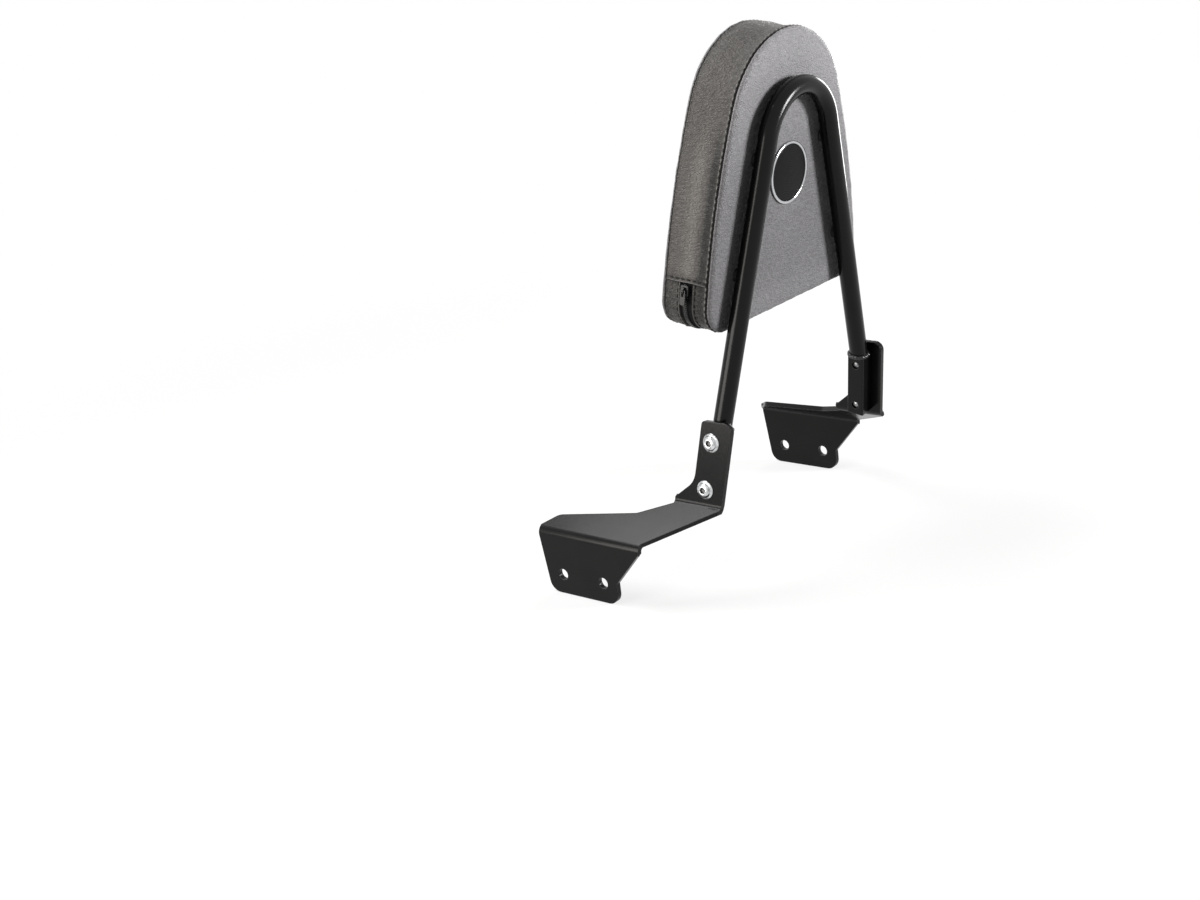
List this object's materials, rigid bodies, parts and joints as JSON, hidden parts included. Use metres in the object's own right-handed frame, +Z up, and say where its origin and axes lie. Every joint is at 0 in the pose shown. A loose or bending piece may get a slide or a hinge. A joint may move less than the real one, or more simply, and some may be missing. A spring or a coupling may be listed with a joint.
{
  "type": "sissy bar",
  "caption": "Motorcycle sissy bar: a bent tube hoop on folded side brackets carries a padded, zipped backrest with a bare round badge.",
  "frame": {"origin": "on the mid-plane, midway between the two rows of fixing holes in the brackets", "axes": "+X to the rider's right, +Y forward towards the bars, +Z up"},
  "size_m": [0.3066, 0.1775, 0.4088],
  "materials": {
    "black_powder_coat": "satin black powder coat",
    "zinc_plated_steel": "bright zinc plate",
    "grained_leatherette": "black grained leatherette, satin",
    "plywood": "bare plywood",
    "foam": "open-cell foam",
    "zip_tape": "woven black tape",
    "zip_teeth": "moulded black teeth",
    "zip_metal": "worn black enamel over die-cast metal",
    "badge_rim": "polished",
    "badge_face": "gloss enamel"
  },
  "bodies": {
    "frame": {"hoop_tube": "black_powder_coat", "left_end_bar": "black_powder_coat", "right_end_bar": "black_powder_coat", "left_weld_bead": "black_powder_coat", "right_weld_bead": "black_powder_coat", "left_bracket": "black_powder_coat", "right_bracket": "black_powder_coat", "bracket_screws": "zinc_plated_steel", "pad_cover": "grained_leatherette", "pad_board": "plywood", "pad_foam": "foam", "pad_bushes": "zinc_plated_steel", "pad_washers": "zinc_plated_steel", "pad_screws": "zinc_plated_steel", "zip_tape": "zip_tape", "zip_chain": "zip_teeth", "badge_rim": "badge_rim", "badge_face": "badge_face"},
    "zip_slider": {"zip_slider": "zip_metal"},
    "zip_puller": {"zip_puller": "zip_metal"}
  },
  "joints": [
    {"name": "zip_run", "type": "slide", "parent": "frame", "child": "zip_slider", "axis": [-0.1064, 0.1212, -0.9869], "range_m": [0, 0.0096]},
    {"name": "puller_swing", "type": "hinge", "parent": "zip_slider", "child": "zip_puller", "pos_m": [-0.09972, -0.08436, 0.21906], "axis": [0, 0.9925, 0.1219], "range_deg": [0, 160]}
  ]
}
